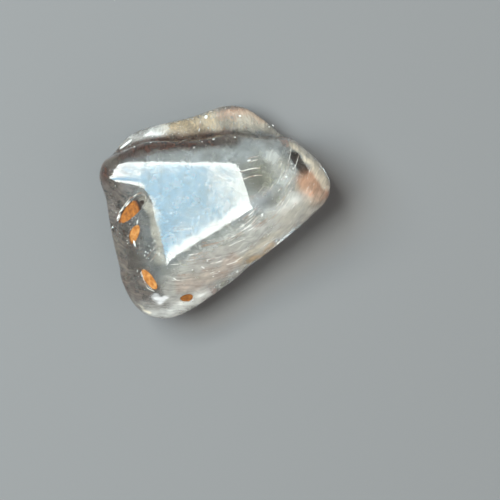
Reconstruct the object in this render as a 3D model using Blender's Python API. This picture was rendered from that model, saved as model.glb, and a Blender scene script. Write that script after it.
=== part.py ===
"""A tumbled topaz pebble, built as one solid.

The stone is a broken piece of clear topaz whose edges wear has rounded off. It is described
as flat faces and hollows that meet in soft edges, and an ico sphere is wrapped onto them.
Lengths inside the description are millimetres, with X to the right, Y away and Z up, and
the stone rests on its cleavage face at Z = 0.
"""

import math

import bmesh
import bpy
import numpy as np
from mathutils import Matrix, Vector

MM = 0.001

TOPAZ_COLOUR = (0.80, 0.78, 0.70, 1.0)
TOPAZ_ROUGHNESS = 0.06
TOPAZ_IOR = 1.62

# Driving dimensions, in millimetres
STONE_HEIGHT = 9.3
GIRDLE_HEIGHT = 3.9
LEDGE_HEIGHT = 3.1
LEDGE_GIRDLE = 1.9
GIRDLE_DIPS_FROM, GIRDLE_DIPS_TO = 2.0, 7.5
CLEAVAGE_TRIM = 0.04
SHORTEST_EDGE = 0.03
TILT_OF_SIDES = 9.0
CREST_FALL = 84.0

# How widely each kind of edge is worn, in millimetres
WEAR_TOP = 1.8
WEAR_SIDE = 2.2
WEAR_GIRDLE = 2.4
WEAR_CREST = 0.5
WEAR_LEDGE = 1.3
WEAR_BASE = 1.2
WEAR_NOTCH = 1.8
WEAR_NOTCH_EDGE = 0.6
WEAR_PIT = 0.15

# Sides of the outline: the way each one faces in degrees, its reach from the middle in
# millimetres, and how far it leans in under the girdle in degrees
SIDES = [
    (180.0, 10.55, 34.0),
    (144.0, 10.70, 36.0),
    (101.6, 8.62, 42.0),
    (57.0, 9.30, 38.0),
    (42.0, 9.80, 34.0),
    (5.0, 10.52, 40.0),
    (-48.5, 5.68, 44.0),
    (-60.6, 6.62, 40.0),
    (-100.0, 10.30, 38.0),
    (-136.0, 11.00, 33.0),
    (-163.0, 9.60, 36.0),
]

# The main face is the broad, gently crowned one on top: the way it falls and how steeply in
# degrees, a point on it, and the radius of its crown
MAIN_FACE = (144.5, 15.0, (-1.60, 1.40, 8.35), 117.0)

# Faces that meet the main face: the two ends of the edge in plan, running anticlockwise round
# the main face, how far the face turns down there in degrees, its crown, and the edge's wear
EDGES_OF_MAIN_FACE = {
    "long flank": ((-4.53, -5.31), (3.89, -0.23), 63.5, 110.0, 1.75),
    "right shoulder": ((3.30, 0.67), (1.95, 4.83), 24.0, 94.0, 0.35),
    "upper shoulder": ((1.34, 4.57), (-8.78, 4.47), 25.5, 113.0, 0.30),
}

# Faces further out: the way each falls and how steeply in degrees, a point on it, its crown,
# and the wear of its edges
OUTER_FACES = {
    "right tip": (2.0, 42.0, (7.90, 2.43, 7.90), 60.0, 1.5),
    "lower tip": (-101.5, 40.0, (-4.60, -5.50, 8.87), 60.0, 1.0),
}

# The notch in the left side: its long floor and the short wall that ends it
NOTCH_FLOOR = (179.5, 38.0, (-5.15, -0.49, 7.86), 68.0)
NOTCH_WALL = (-99.0, 52.0, (-7.06, 2.44, 6.86), 12.0)

# Low shelves left by cleavage steps: the way each one falls and how steeply in degrees, a
# point on it, its crown, and the way and the distance from the middle where it begins
SHELVES = {
    "upper ledge": (70.0, 11.0, (0.0, 7.6, LEDGE_HEIGHT), 30.0, 90.0, 2.0),
    "lower rim": (-70.0, 10.0, (-3.4, -8.0, 4.9), 60.0, -90.0, 5.0),
}

# The crest is the steep step from the top down to the ledge: the way it faces, and its reach
CREST_SIDES = [(114.5, 8.75), (91.0, 6.85)]

# The ledge and the crest swell out to the right of their middle
SWELL_CENTRE, SWELL_WIDTH, SWELL_REACH = 1.3, 2.6, 0.62
SWELL_START, SWELL_FULL = 3.0, 8.5

# Etch pits: the middle in plan, half the length, half the width, the way they run in degrees
# and how deep they go
PITS = {
    "long_groove": ((-7.30, 0.24), 1.95, 0.62, 41.0, 0.60),
    "forked_pit": ((-7.13, -1.95), 1.00, 0.50, 61.0, 0.48),
    "flank_pit": ((-5.77, -5.81), 1.10, 0.45, -52.0, 0.45),
    "tip_pit": ((-2.52, -7.48), 0.62, 0.46, 0.0, 0.34),
    "edge_chip": ((-8.97, -1.29), 0.50, 0.40, -66.0, 0.30),
}
PIT_MARGINS = (0.80, 0.30)

# The ball that is wrapped onto the stone
SPHERE_LEVEL = 5
BALL_MIDDLE = (0.0, 0.0, 2.4)
BALL_STRETCH = (1.0, 1.0, 0.45)
CAST_REACH = 16.0
CAST_STEPS = 20
WRAP_ROUNDS = 8
NEWTON_STEPS = 3
FLATTEST_SLOPE = 0.25


def facing(azimuth, fall):
    """The unit normal that faces azimuth and is fall degrees from straight up."""
    a, f = math.radians(azimuth), math.radians(fall)
    return np.array([math.cos(a) * math.sin(f), math.sin(a) * math.sin(f), math.cos(f)])


def soft_max(a, b, width):
    """The larger of a and b, with the edge between them rounded over width."""
    near = np.maximum(width - np.abs(a - b), 0.0) / width
    return np.maximum(a, b) + near**3 * width / 6.0


def plane(points, normal, on_plane):
    """How far points stand out of a flat face."""
    return (points - np.array(on_plane)) @ normal


def smooth_step(values, start, full):
    """0 up to start, 1 from full on, and a smooth rise between them."""
    rise = np.clip((values - start) / (full - start), 0.0, 1.0)
    return rise * rise * (3.0 - 2.0 * rise)


def side_walls(points):
    """The outline: each side stands nearly upright above the girdle and leans in below it."""
    dip = smooth_step(points[:, 1], GIRDLE_DIPS_FROM, GIRDLE_DIPS_TO)
    above = points[:, 2] - GIRDLE_HEIGHT - (LEDGE_GIRDLE - GIRDLE_HEIGHT) * dip
    tilt = math.radians(TILT_OF_SIDES)
    walls = None
    for azimuth, reach, undercut in SIDES:
        out = points @ facing(azimuth, 90.0) - reach - WEAR_GIRDLE / 6.0
        lean = math.radians(undercut)
        upper = out * math.cos(tilt) + above * math.sin(tilt)
        lower = out * math.cos(lean) - above * math.sin(lean)
        side = soft_max(upper, lower, WEAR_GIRDLE)
        walls = side if walls is None else soft_max(walls, side, WEAR_SIDE)
    return walls


def swollen(points):
    """The points moved so that the ledge and crest swell out where the real ones do."""
    along = np.exp(-(((points[:, 0] - SWELL_CENTRE) / SWELL_WIDTH) ** 2))
    moved = points.copy()
    moved[:, 1] -= SWELL_REACH * along * smooth_step(points[:, 1], SWELL_START, SWELL_FULL)
    return moved


def crowned(points, normal, on_face, radius):
    """How far points stand out of a face that is gently crowned, like part of a large ball."""
    centre = np.array(on_face) - normal * radius
    return np.linalg.norm(points - centre, axis=1) - radius


def on_main_face(x, y):
    """The point of the main face that has this place in plan."""
    normal, middle = facing(*MAIN_FACE[:2]), MAIN_FACE[2]
    drop = (x - middle[0]) * normal[0] + (y - middle[1]) * normal[1]
    return np.array([x, y, middle[2] - drop / normal[2]])


def top_faces(points):
    """The faces of the top, with the notch cut into their left side."""
    level = facing(*MAIN_FACE[:2])
    top = crowned(points, level, *MAIN_FACE[2:])
    for start, end, turn, radius, worn in EDGES_OF_MAIN_FACE.values():
        start, end = on_main_face(*start), on_main_face(*end)
        outward = np.cross(end - start, level)
        outward /= np.linalg.norm(outward)
        turn = math.radians(turn)
        normal = level * math.cos(turn) + outward * math.sin(turn)
        top = soft_max(top, crowned(points, normal, (start + end) / 2, radius), worn)
    for azimuth, fall, on_face, radius, worn in OUTER_FACES.values():
        top = soft_max(top, crowned(points, facing(azimuth, fall), on_face, radius), worn)
    floor, wall = (
        crowned(points, facing(azimuth, fall), on_face, radius)
        for azimuth, fall, on_face, radius in (NOTCH_FLOOR, NOTCH_WALL)
    )
    return soft_max(top, -soft_max(-floor, -wall, WEAR_NOTCH), WEAR_NOTCH_EDGE)


def body(points):
    """Roughly how far points stand out of the worn stone, before its pits: 0 on its surface."""
    moved = swollen(points)
    walls = side_walls(moved)
    shape = soft_max(walls, top_faces(points), WEAR_TOP)
    for azimuth, reach in CREST_SIDES:
        crest = plane(moved, facing(azimuth, CREST_FALL), facing(azimuth, 90.0) * reach)
        shape = soft_max(shape, crest, WEAR_CREST)
    for azimuth, fall, on_face, radius, begins_facing, begins_at in SHELVES.values():
        begins = facing(begins_facing, 90.0)
        shelf = crowned(points, facing(azimuth, fall), on_face, radius)
        shelf = soft_max(walls, shelf, WEAR_LEDGE)
        shelf = soft_max(shelf, -plane(points, begins, begins * begins_at), WEAR_LEDGE)
        shape = -soft_max(-shape, -shelf, WEAR_CREST)
    return soft_max(shape, -points[:, 2], WEAR_BASE)


def slope(solid, points, step=0.01):
    """The gradient at points of solid, a function such as body()."""
    columns = []
    for axis in np.eye(3) * step:
        columns.append((solid(points + axis) - solid(points - axis)) / (2.0 * step))
    return np.stack(columns, axis=1)


def cast(solid, starts, ways, reach):
    """The points where straight lines from starts, inside the solid, leave it."""
    inside, outside = np.zeros(len(starts)), np.full(len(starts), reach)
    for _ in range(CAST_STEPS):
        half = (inside + outside) / 2
        within = solid(starts + ways * half[:, None]) < 0
        inside, outside = np.where(within, half, inside), np.where(within, outside, half)
    return starts + ways * inside[:, None]


def pit_shapes():
    """Each pit as an egg lying in the stone's skin: its middle, its three axes and their halves."""
    shapes = []
    up = np.array([[0.0, 0.0, 1.0]])
    for middle, half_length, half_width, run, depth in PITS.values():
        centre = cast(body, np.array([[*middle, GIRDLE_HEIGHT]]), up, STONE_HEIGHT)
        normal = slope(body, centre)[0]
        normal /= np.linalg.norm(normal)
        along = facing(run, 90.0)
        along[2] = -(along @ normal) / normal[2]
        along /= np.linalg.norm(along)
        axes = np.stack([along, np.cross(normal, along), normal], axis=1)
        shapes.append((centre[0], axes, np.array([half_length, half_width, depth])))
    return shapes


def pit_distance(points, shapes):
    """Roughly how far points are from the nearest of the eggs."""
    nearest = np.full(len(points), np.inf)
    for centre, axes, halves in shapes:
        local = (points - centre) @ axes / halves
        size = np.linalg.norm(local, axis=1)
        steepness = np.maximum(np.linalg.norm(local / halves, axis=1), 1e-6)
        nearest = np.minimum(nearest, size * (size - 1.0) / steepness)
    return nearest


def wrap(bm, solid):
    """Evens out the faces of bm, with every vertex on the surface of the solid."""
    for _ in range(WRAP_ROUNDS):
        bmesh.ops.smooth_vert(
            bm, verts=bm.verts, factor=0.5, use_axis_x=True, use_axis_y=True, use_axis_z=True
        )
        points = np.array([v.co for v in bm.verts])
        for _ in range(NEWTON_STEPS):
            gradient = slope(solid, points)
            size = np.maximum((gradient**2).sum(axis=1), FLATTEST_SLOPE**2)
            points = points - gradient * (solid(points) / size)[:, None]
        for vertex, point in zip(bm.verts, points):
            vertex.co = point


def make_stone():
    """The worn stone, in millimetres, cut off flat at its cleavage face."""
    bpy.ops.mesh.primitive_ico_sphere_add(subdivisions=SPHERE_LEVEL, radius=1.0)
    pebble = bpy.context.object
    pebble.name = pebble.data.name = "topaz_pebble"
    bm = bmesh.new()
    bm.from_mesh(pebble.data)

    # The ball is blown up to the stone's surface, and its faces are evened out there
    bmesh.ops.scale(bm, vec=BALL_STRETCH, verts=bm.verts)
    ways = np.array([v.co for v in bm.verts])
    ways /= np.linalg.norm(ways, axis=1)[:, None]
    starts = np.tile(BALL_MIDDLE, (len(ways), 1))
    for vertex, point in zip(bm.verts, cast(body, starts, ways, CAST_REACH)):
        vertex.co = point
    wrap(bm, body)

    # Finer faces at the pits, which are then sunk
    shapes = pit_shapes()
    for margin in PIT_MARGINS:
        near = pit_distance(np.array([v.co for v in bm.verts]), shapes) < margin
        edges = [e for e in bm.edges if all(near[v.index] for v in e.verts)]
        bmesh.ops.subdivide_edges(bm, edges=edges, cuts=1)
        bmesh.ops.triangulate(bm, faces=[f for f in bm.faces if len(f.verts) > 3])
        bm.verts.index_update()
    wrap(bm, lambda points: soft_max(body(points), -pit_distance(points, shapes), WEAR_PIT))

    cut = bmesh.ops.bisect_plane(
        bm,
        geom=bm.verts[:] + bm.edges[:] + bm.faces[:],
        plane_co=(0.0, 0.0, CLEAVAGE_TRIM),
        plane_no=(0.0, 0.0, -1.0),
        clear_outer=True,
    )
    rim = [e for e in cut["geom_cut"] if isinstance(e, bmesh.types.BMEdge)]
    bmesh.ops.edgeloop_fill(bm, edges=rim)
    bmesh.ops.remove_doubles(bm, verts=bm.verts, dist=SHORTEST_EDGE)
    bmesh.ops.recalc_face_normals(bm, faces=bm.faces)
    bm.to_mesh(pebble.data)
    bm.free()
    return pebble


def put_foot_at_origin(mesh):
    """Turns a mesh to metres, with the middle of the bottom of its box at the origin."""
    corners = np.array([v.co for v in mesh.vertices])
    low, high = corners.min(axis=0), corners.max(axis=0)
    foot = Vector(((low[0] + high[0]) / 2, (low[1] + high[1]) / 2, low[2]))
    mesh.transform(Matrix.Scale(MM, 4) @ Matrix.Translation(-foot))


def clear_topaz():
    """Clear topaz, with the faint straw tint that the stone has."""
    material = bpy.data.materials.new("clear_topaz")
    material.use_nodes = True
    shader = material.node_tree.nodes["Principled BSDF"]
    shader.inputs["Base Color"].default_value = TOPAZ_COLOUR
    shader.inputs["Roughness"].default_value = TOPAZ_ROUGHNESS
    shader.inputs["Metallic"].default_value = 0.0
    shader.inputs["IOR"].default_value = TOPAZ_IOR
    shader.inputs["Transmission Weight"].default_value = 1.0
    return material


def main():
    for old in list(bpy.data.objects):
        bpy.data.objects.remove(old)
    pebble = make_stone()
    put_foot_at_origin(pebble.data)
    pebble.data.materials.append(clear_topaz())
    pebble.data.shade_smooth()

    parts = bpy.data.collections.new("topaz_pebble")
    bpy.context.scene.collection.children.link(parts)
    for collection in pebble.users_collection:
        collection.objects.unlink(pebble)
    parts.objects.link(pebble)


main()
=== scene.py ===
"""The looks of a tumbled topaz pebble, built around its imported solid.

Lengths in the description of the stone are millimetres, with X to the right, Y away and
Z up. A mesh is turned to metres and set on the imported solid's place once it is finished.
"""

import math

import bmesh
import bpy
import numpy as np
from mathutils import Matrix, Quaternion, Vector, noise


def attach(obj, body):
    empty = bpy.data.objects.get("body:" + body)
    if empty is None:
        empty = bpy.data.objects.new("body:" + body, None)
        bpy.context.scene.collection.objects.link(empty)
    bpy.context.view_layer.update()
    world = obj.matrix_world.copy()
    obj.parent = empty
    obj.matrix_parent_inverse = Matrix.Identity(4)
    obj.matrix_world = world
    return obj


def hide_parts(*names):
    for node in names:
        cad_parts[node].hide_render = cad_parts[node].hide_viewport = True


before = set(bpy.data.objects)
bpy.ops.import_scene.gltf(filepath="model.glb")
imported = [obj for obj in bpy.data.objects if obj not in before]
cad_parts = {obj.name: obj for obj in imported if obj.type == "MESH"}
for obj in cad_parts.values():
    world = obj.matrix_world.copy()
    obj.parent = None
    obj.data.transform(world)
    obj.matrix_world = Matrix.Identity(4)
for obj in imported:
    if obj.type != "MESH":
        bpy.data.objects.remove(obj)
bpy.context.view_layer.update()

# The stone
# A broken piece of clear topaz that water has tumbled round. It is flat faces and hollows that
# meet in worn edges: a fine ball is blown up onto that form, and its pits are then sunk.
MM = 0.001
STONE_HEIGHT = 9.3
GIRDLE_HEIGHT = 3.9
LEDGE_HEIGHT = 3.1
LEDGE_GIRDLE = 1.9
GIRDLE_DIPS_FROM, GIRDLE_DIPS_TO = 2.0, 7.5
CLEAVAGE_TRIM = 0.04
TILT_OF_SIDES = 9.0
CREST_FALL = 84.0

# How widely each kind of edge is worn
WEAR_TOP = 1.8
WEAR_SIDE = 2.2
WEAR_GIRDLE = 2.4
WEAR_CREST = 0.5
WEAR_LEDGE = 1.3
WEAR_BASE = 1.2
WEAR_NOTCH = 1.8
WEAR_NOTCH_EDGE = 0.6
WEAR_PIT = 0.15

# Sides of the outline: the way each faces in degrees, its reach, and its undercut in degrees
SIDES = [
    (180.0, 10.55, 34.0),
    (144.0, 10.70, 36.0),
    (101.6, 8.62, 42.0),
    (57.0, 9.30, 38.0),
    (42.0, 9.80, 34.0),
    (5.0, 10.52, 40.0),
    (-48.5, 5.68, 44.0),
    (-60.6, 6.62, 40.0),
    (-100.0, 10.30, 38.0),
    (-136.0, 11.00, 33.0),
    (-163.0, 9.60, 36.0),
]

# The main face: the way it falls and how steeply in degrees, a point on it, and its crown
MAIN_FACE = (144.5, 15.0, (-1.60, 1.40, 8.35), 117.0)

# Faces that meet it: the ends of the edge, the turn down in degrees, the crown, the wear
EDGES_OF_MAIN_FACE = {
    "long flank": ((-4.53, -5.31), (3.89, -0.23), 63.5, 110.0, 1.75),
    "right shoulder": ((3.30, 0.67), (1.95, 4.83), 24.0, 94.0, 0.35),
    "upper shoulder": ((1.34, 4.57), (-8.78, 4.47), 25.5, 113.0, 0.30),
}

# Faces further out: the way each falls and how steeply, a point on it, its crown, the wear
OUTER_FACES = {
    "right tip": (2.0, 42.0, (7.90, 2.43, 7.90), 60.0, 1.5),
    "lower tip": (-101.5, 40.0, (-4.60, -5.50, 8.87), 60.0, 1.0),
}
NOTCH_FLOOR = (179.5, 38.0, (-5.15, -0.49, 7.86), 68.0)
NOTCH_WALL = (-99.0, 52.0, (-7.06, 2.44, 6.86), 12.0)

# Low shelves: the way each falls and how steeply, a point on it, its crown, where it begins
SHELVES = {
    "upper ledge": (70.0, 11.0, (0.0, 7.6, LEDGE_HEIGHT), 30.0, 90.0, 2.0),
    "lower rim": (-70.0, 10.0, (-3.4, -8.0, 4.9), 60.0, -90.0, 5.0),
}
CREST_SIDES = [(114.5, 8.75), (91.0, 6.85)]
SWELL_CENTRE, SWELL_WIDTH, SWELL_REACH = 1.3, 2.6, 0.62
SWELL_START, SWELL_FULL = 3.0, 8.5

# Etch pits: the middle in plan, half the length and width, the way they run, and the depth
PITS = {
    "long_groove": ((-7.30, 0.24), 1.95, 0.62, 41.0, 0.60),
    "forked_pit": ((-7.13, -1.95), 1.00, 0.50, 61.0, 0.48),
    "flank_pit": ((-5.77, -5.81), 1.10, 0.45, -52.0, 0.45),
    "tip_pit": ((-2.52, -7.48), 0.62, 0.46, 0.0, 0.34),
    "edge_chip": ((-8.97, -1.29), 0.50, 0.40, -66.0, 0.30),
}
PIT_MARGINS = (0.80, 0.30)

SPHERE_LEVEL = 5
BALL_MIDDLE = (0.0, 0.0, 2.4)
BALL_STRETCH = (1.0, 1.0, 0.45)
CAST_REACH = 16.0
CAST_STEPS = 20
WRAP_ROUNDS = 8
FINE_CUTS, FINE_ROUNDS = 3, 2
NEWTON_STEPS = 3
FLATTEST_SLOPE = 0.25


def facing(azimuth, fall):
    """The unit normal that faces azimuth and is fall degrees from straight up."""
    a, f = math.radians(azimuth), math.radians(fall)
    return np.array([math.cos(a) * math.sin(f), math.sin(a) * math.sin(f), math.cos(f)])


def soft_max(a, b, width):
    """The larger of a and b, with the edge between them rounded over width."""
    near = np.maximum(width - np.abs(a - b), 0.0) / width
    return np.maximum(a, b) + near**3 * width / 6.0


def plane(points, normal, on_plane):
    """How far points stand out of a flat face."""
    return (points - np.array(on_plane)) @ normal


def smooth_step(values, start, full):
    """0 up to start, 1 from full on, and a smooth rise between them."""
    rise = np.clip((values - start) / (full - start), 0.0, 1.0)
    return rise * rise * (3.0 - 2.0 * rise)


def side_walls(points):
    """The outline: each side stands nearly upright above the girdle and leans in below it."""
    dip = smooth_step(points[:, 1], GIRDLE_DIPS_FROM, GIRDLE_DIPS_TO)
    above = points[:, 2] - GIRDLE_HEIGHT - (LEDGE_GIRDLE - GIRDLE_HEIGHT) * dip
    tilt = math.radians(TILT_OF_SIDES)
    walls = None
    for azimuth, reach, undercut in SIDES:
        out = points @ facing(azimuth, 90.0) - reach - WEAR_GIRDLE / 6.0
        lean = math.radians(undercut)
        upper = out * math.cos(tilt) + above * math.sin(tilt)
        lower = out * math.cos(lean) - above * math.sin(lean)
        side = soft_max(upper, lower, WEAR_GIRDLE)
        walls = side if walls is None else soft_max(walls, side, WEAR_SIDE)
    return walls


def swollen(points):
    """The points moved so that the ledge and crest swell out where the real ones do."""
    along = np.exp(-(((points[:, 0] - SWELL_CENTRE) / SWELL_WIDTH) ** 2))
    moved = points.copy()
    moved[:, 1] -= SWELL_REACH * along * smooth_step(points[:, 1], SWELL_START, SWELL_FULL)
    return moved


def crowned(points, normal, on_face, radius):
    """How far points stand out of a face that is gently crowned, like part of a large ball."""
    centre = np.array(on_face) - normal * radius
    return np.linalg.norm(points - centre, axis=1) - radius


def on_main_face(x, y):
    """The point of the main face that has this place in plan."""
    normal, middle = facing(*MAIN_FACE[:2]), MAIN_FACE[2]
    drop = (x - middle[0]) * normal[0] + (y - middle[1]) * normal[1]
    return np.array([x, y, middle[2] - drop / normal[2]])


def top_faces(points):
    """The faces of the top, with the notch cut into their left side."""
    level = facing(*MAIN_FACE[:2])
    top = crowned(points, level, *MAIN_FACE[2:])
    for start, end, turn, radius, worn in EDGES_OF_MAIN_FACE.values():
        start, end = on_main_face(*start), on_main_face(*end)
        outward = np.cross(end - start, level)
        outward /= np.linalg.norm(outward)
        turn = math.radians(turn)
        normal = level * math.cos(turn) + outward * math.sin(turn)
        top = soft_max(top, crowned(points, normal, (start + end) / 2, radius), worn)
    for azimuth, fall, on_face, radius, worn in OUTER_FACES.values():
        top = soft_max(top, crowned(points, facing(azimuth, fall), on_face, radius), worn)
    floor, wall = (
        crowned(points, facing(azimuth, fall), on_face, radius)
        for azimuth, fall, on_face, radius in (NOTCH_FLOOR, NOTCH_WALL)
    )
    return soft_max(top, -soft_max(-floor, -wall, WEAR_NOTCH), WEAR_NOTCH_EDGE)


def body(points):
    """Roughly how far points stand out of the worn stone, before its pits: 0 on its surface."""
    moved = swollen(points)
    walls = side_walls(moved)
    shape = soft_max(walls, top_faces(points), WEAR_TOP)
    for azimuth, reach in CREST_SIDES:
        crest = plane(moved, facing(azimuth, CREST_FALL), facing(azimuth, 90.0) * reach)
        shape = soft_max(shape, crest, WEAR_CREST)
    for azimuth, fall, on_face, radius, begins_facing, begins_at in SHELVES.values():
        begins = facing(begins_facing, 90.0)
        shelf = crowned(points, facing(azimuth, fall), on_face, radius)
        shelf = soft_max(walls, shelf, WEAR_LEDGE)
        shelf = soft_max(shelf, -plane(points, begins, begins * begins_at), WEAR_LEDGE)
        shape = -soft_max(-shape, -shelf, WEAR_CREST)
    return soft_max(shape, -points[:, 2], WEAR_BASE)


def slope(solid, points, step=0.01):
    """The gradient at points of solid, a function such as body()."""
    columns = []
    for axis in np.eye(3) * step:
        columns.append((solid(points + axis) - solid(points - axis)) / (2.0 * step))
    return np.stack(columns, axis=1)


def cast(solid, starts, ways, reach):
    """The points where straight lines from starts, inside the solid, leave it."""
    inside, outside = np.zeros(len(starts)), np.full(len(starts), reach)
    for _ in range(CAST_STEPS):
        half = (inside + outside) / 2
        within = solid(starts + ways * half[:, None]) < 0
        inside, outside = np.where(within, half, inside), np.where(within, outside, half)
    return starts + ways * inside[:, None]


def pit_shapes():
    """Each pit as an egg lying in the stone's skin: its middle, its three axes and their halves."""
    shapes = {}
    up = np.array([[0.0, 0.0, 1.0]])
    for name, (middle, half_length, half_width, run, depth) in PITS.items():
        centre = cast(body, np.array([[*middle, GIRDLE_HEIGHT]]), up, STONE_HEIGHT)
        normal = slope(body, centre)[0]
        normal /= np.linalg.norm(normal)
        along = facing(run, 90.0)
        along[2] = -(along @ normal) / normal[2]
        along /= np.linalg.norm(along)
        axes = np.stack([along, np.cross(normal, along), normal], axis=1)
        shapes[name] = (centre[0], axes, np.array([half_length, half_width, depth]))
    return shapes


def pit_distance(points, shapes):
    """Roughly how far points are from the nearest of the eggs."""
    nearest = np.full(len(points), np.inf)
    for centre, axes, halves in shapes:
        local = (points - centre) @ axes / halves
        size = np.linalg.norm(local, axis=1)
        steepness = np.maximum(np.linalg.norm(local / halves, axis=1), 1e-6)
        nearest = np.minimum(nearest, size * (size - 1.0) / steepness)
    return nearest


pits = pit_shapes()


def pitted(points):
    """The body with its pits sunk."""
    return soft_max(body(points), -pit_distance(points, pits.values()), WEAR_PIT)


def wrap(bm, solid, rounds, smoothing=0.5):
    """Evens out the faces of bm, with every vertex on the surface of the solid."""
    for _ in range(rounds):
        bmesh.ops.smooth_vert(
            bm, verts=bm.verts, factor=smoothing, use_axis_x=True, use_axis_y=True, use_axis_z=True
        )
        points = np.array([v.co for v in bm.verts])
        for _ in range(NEWTON_STEPS):
            gradient = slope(solid, points)
            size = np.maximum((gradient**2).sum(axis=1), FLATTEST_SLOPE**2)
            points = points - gradient * (solid(points) / size)[:, None]
        for vertex, point in zip(bm.verts, points):
            vertex.co = point


def wavy(points, length, seed):
    """A gentle random wave, from about -1 to 1, whose swells are length apart."""
    offset = Vector((seed, 2.0 * seed, 3.0 * seed))
    return np.array([noise.noise(Vector(p) / length + offset) for p in points])


bm = bmesh.new()
bmesh.ops.create_icosphere(bm, subdivisions=SPHERE_LEVEL, radius=1.0)
bmesh.ops.scale(bm, vec=BALL_STRETCH, verts=bm.verts)
ways = np.array([v.co for v in bm.verts])
ways /= np.linalg.norm(ways, axis=1)[:, None]
starts = np.tile(BALL_MIDDLE, (len(ways), 1))
for vertex, point in zip(bm.verts, cast(body, starts, ways, CAST_REACH)):
    vertex.co = point
wrap(bm, body, WRAP_ROUNDS)
plain_skin = bm.copy()
for margin in PIT_MARGINS:
    near = pit_distance(np.array([v.co for v in bm.verts]), pits.values()) < margin
    edges = [e for e in bm.edges if all(near[v.index] for v in e.verts)]
    bmesh.ops.subdivide_edges(bm, edges=edges, cuts=1)
    bmesh.ops.triangulate(bm, faces=[f for f in bm.faces if len(f.verts) > 3])
    bm.verts.index_update()
wrap(bm, pitted, WRAP_ROUNDS)
bmesh.ops.subdivide_edges(bm, edges=bm.edges[:], cuts=FINE_CUTS, use_grid_fill=True)
bmesh.ops.triangulate(bm, faces=bm.faces[:])
wrap(bm, pitted, FINE_ROUNDS)

# Wear that is too fine for the solid: soft swells, each with its length and size, and small round
# dents from other pebbles, as deep as a share of their radius
SWELLS = [(4.0, 0.020), (1.6, 0.009), (0.7, 0.0030)]
DENTS, DENT_RADII, DENT_DEPTH = 140, (0.08, 0.24), 0.06
points = np.array([v.co for v in bm.verts])
bm.normal_update()
normals = np.array([v.normal for v in bm.verts])
lift = sum(size * wavy(points, length, seed=10.0 * length) for length, size in SWELLS)
draw = np.random.default_rng(seed=7)
for middle in draw.choice(len(points), DENTS, replace=False):
    radius = draw.uniform(*DENT_RADII)
    away = np.linalg.norm(points - points[middle], axis=1) / radius
    lift -= DENT_DEPTH * radius * np.clip(1.0 - away**2, 0.0, 1.0) ** 2
for vertex, point in zip(bm.verts, points + normals * lift[:, None]):
    vertex.co = point
cut = bmesh.ops.bisect_plane(
    bm,
    geom=bm.verts[:] + bm.edges[:] + bm.faces[:],
    plane_co=(0.0, 0.0, CLEAVAGE_TRIM),
    plane_no=(0.0, 0.0, -1.0),
    clear_outer=True,
)
rim = [e for e in cut["geom_cut"] if isinstance(e, bmesh.types.BMEdge)]
base = bmesh.ops.edgeloop_fill(bm, edges=rim)["faces"]
bmesh.ops.recalc_face_normals(bm, faces=bm.faces)
for face in bm.faces:
    face.smooth = face not in base
corners = np.array([v.co for v in bm.verts])
outer_skin = bm.copy()
bases = [f for f in outer_skin.faces if len(f.verts) > 3]
bmesh.ops.delete(outer_skin, geom=bases, context="FACES_ONLY")

# The middle of the stone's foot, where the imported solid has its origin
foot = Vector((*(corners.min(axis=0)[:2] + corners.max(axis=0)[:2]) / 2, CLEAVAGE_TRIM))


def finish(bm, name, material):
    """Makes a bmesh in millimetres a piece of the scene, in metres, that rides on the stone."""
    mesh = bpy.data.meshes.new(name)
    bm.to_mesh(mesh)
    bm.free()
    mesh.transform(Matrix.Scale(MM, 4) @ Matrix.Translation(-foot))
    mesh.materials.append(material)
    piece = bpy.data.objects.new(name, mesh)
    bpy.context.scene.collection.objects.link(piece)
    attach(piece, "root")
    return piece


def put(tree, kind, inputs, **settings):
    """A new node with its settings; each of its inputs takes a value or another node's output."""
    node = tree.nodes.new("ShaderNode" + kind)
    for name, value in settings.items():
        setattr(node, name, value)
    for name, value in inputs.items():
        if isinstance(value, bpy.types.NodeSocket):
            tree.links.new(value, node.inputs[name])
        else:
            node.inputs[name].default_value = value
    return node


def combine(tree, operation, a, b):
    """The output of a Math node on two values."""
    return put(tree, "Math", {0: a, 1: b}, operation=operation).outputs["Value"]


def rise(tree, value, start, full, low=0.0, high=1.0):
    """A smooth change from low, where value is start, to high, where it is full."""
    span = {"Value": value, "From Min": start, "From Max": full, "To Min": low, "To Max": high}
    return put(tree, "MapRange", span, interpolation_type="SMOOTHSTEP").outputs["Result"]


def speckle(tree, place, scale, detail=4.0, roughness=0.6):
    """Random patches, scale of them to the metre, as values round 0.5."""
    inputs = {"Vector": place, "Scale": scale, "Detail": detail, "Roughness": roughness}
    return put(tree, "TexNoise", inputs).outputs["Fac"]


# Growth lines are arcs about this point in plan, in millimetres. They wander a little, and they
# change slowly along their run and with height.
GROWTH_MIDDLE = (-3.0, 7.4)
WANDERS_PER_METRE, WANDER = 500.0, 0.0011
CHANGES_ALONG, CHANGES_UP = 5.0, 400.0
growth = bpy.data.node_groups.new("growth_lines", "ShaderNodeTree")
growth.interface.new_socket("Vector", in_out="INPUT", socket_type="NodeSocketVector")
growth.interface.new_socket("Lines per metre", in_out="INPUT", socket_type="NodeSocketFloat")
growth.interface.new_socket("Lines", in_out="OUTPUT", socket_type="NodeSocketFloat")
given = growth.nodes.new("NodeGroupInput").outputs
middle = (Vector((*GROWTH_MIDDLE, 0.0)) - foot) * MM
split = put(growth, "SeparateXYZ", {"Vector": given["Vector"]}).outputs
out_x = combine(growth, "SUBTRACT", split["X"], middle.x)
out_y = combine(growth, "SUBTRACT", split["Y"], middle.y)
flat = put(growth, "CombineXYZ", {"X": out_x, "Y": out_y}).outputs["Vector"]
away = put(growth, "VectorMath", {0: flat}, operation="LENGTH").outputs["Value"]
wander = speckle(growth, given["Vector"], scale=WANDERS_PER_METRE, detail=2.0)
away = combine(growth, "ADD", away, combine(growth, "MULTIPLY", wander, WANDER))
away = combine(growth, "MULTIPLY", away, given["Lines per metre"])
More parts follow.
